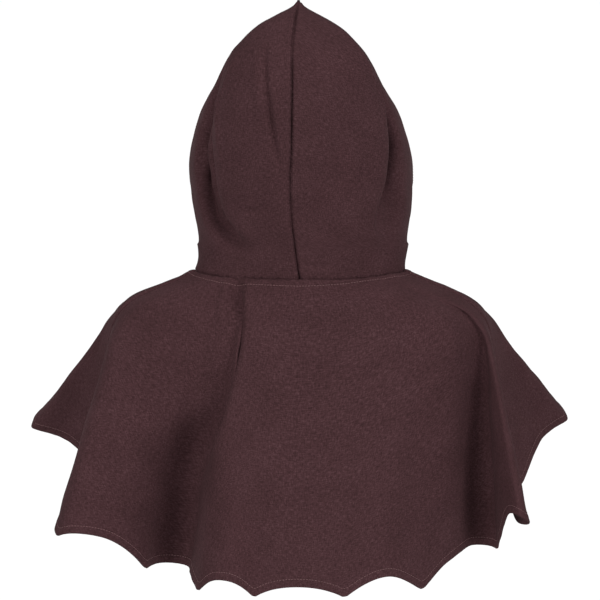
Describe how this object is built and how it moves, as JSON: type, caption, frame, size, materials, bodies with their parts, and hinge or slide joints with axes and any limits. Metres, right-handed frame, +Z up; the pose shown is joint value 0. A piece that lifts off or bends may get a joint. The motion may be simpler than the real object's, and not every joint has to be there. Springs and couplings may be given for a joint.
{
  "type": "cloth hood with shoulder mantle",
  "caption": "Pull-over cloth hood with a pointed crown, an open face and a shoulder mantle whose hem is cut into hollow curves.",
  "frame": {"origin": "where the crown of the wearer's head meets the cloth, inside the hood, 28 mm below its peak", "axes": "+Z up, -Y the way the wearer looks, +X to the wearer's left"},
  "size_m": [0.68, 0.432, 0.6895],
  "materials": {
    "brown_cotton": "matte, heathered plain weave"
  },
  "bodies": {
    "root": {"hood_left": "brown_cotton", "hood_right": "brown_cotton", "mantle_back": "brown_cotton", "mantle_front": "brown_cotton"}
  },
  "joints": []
}
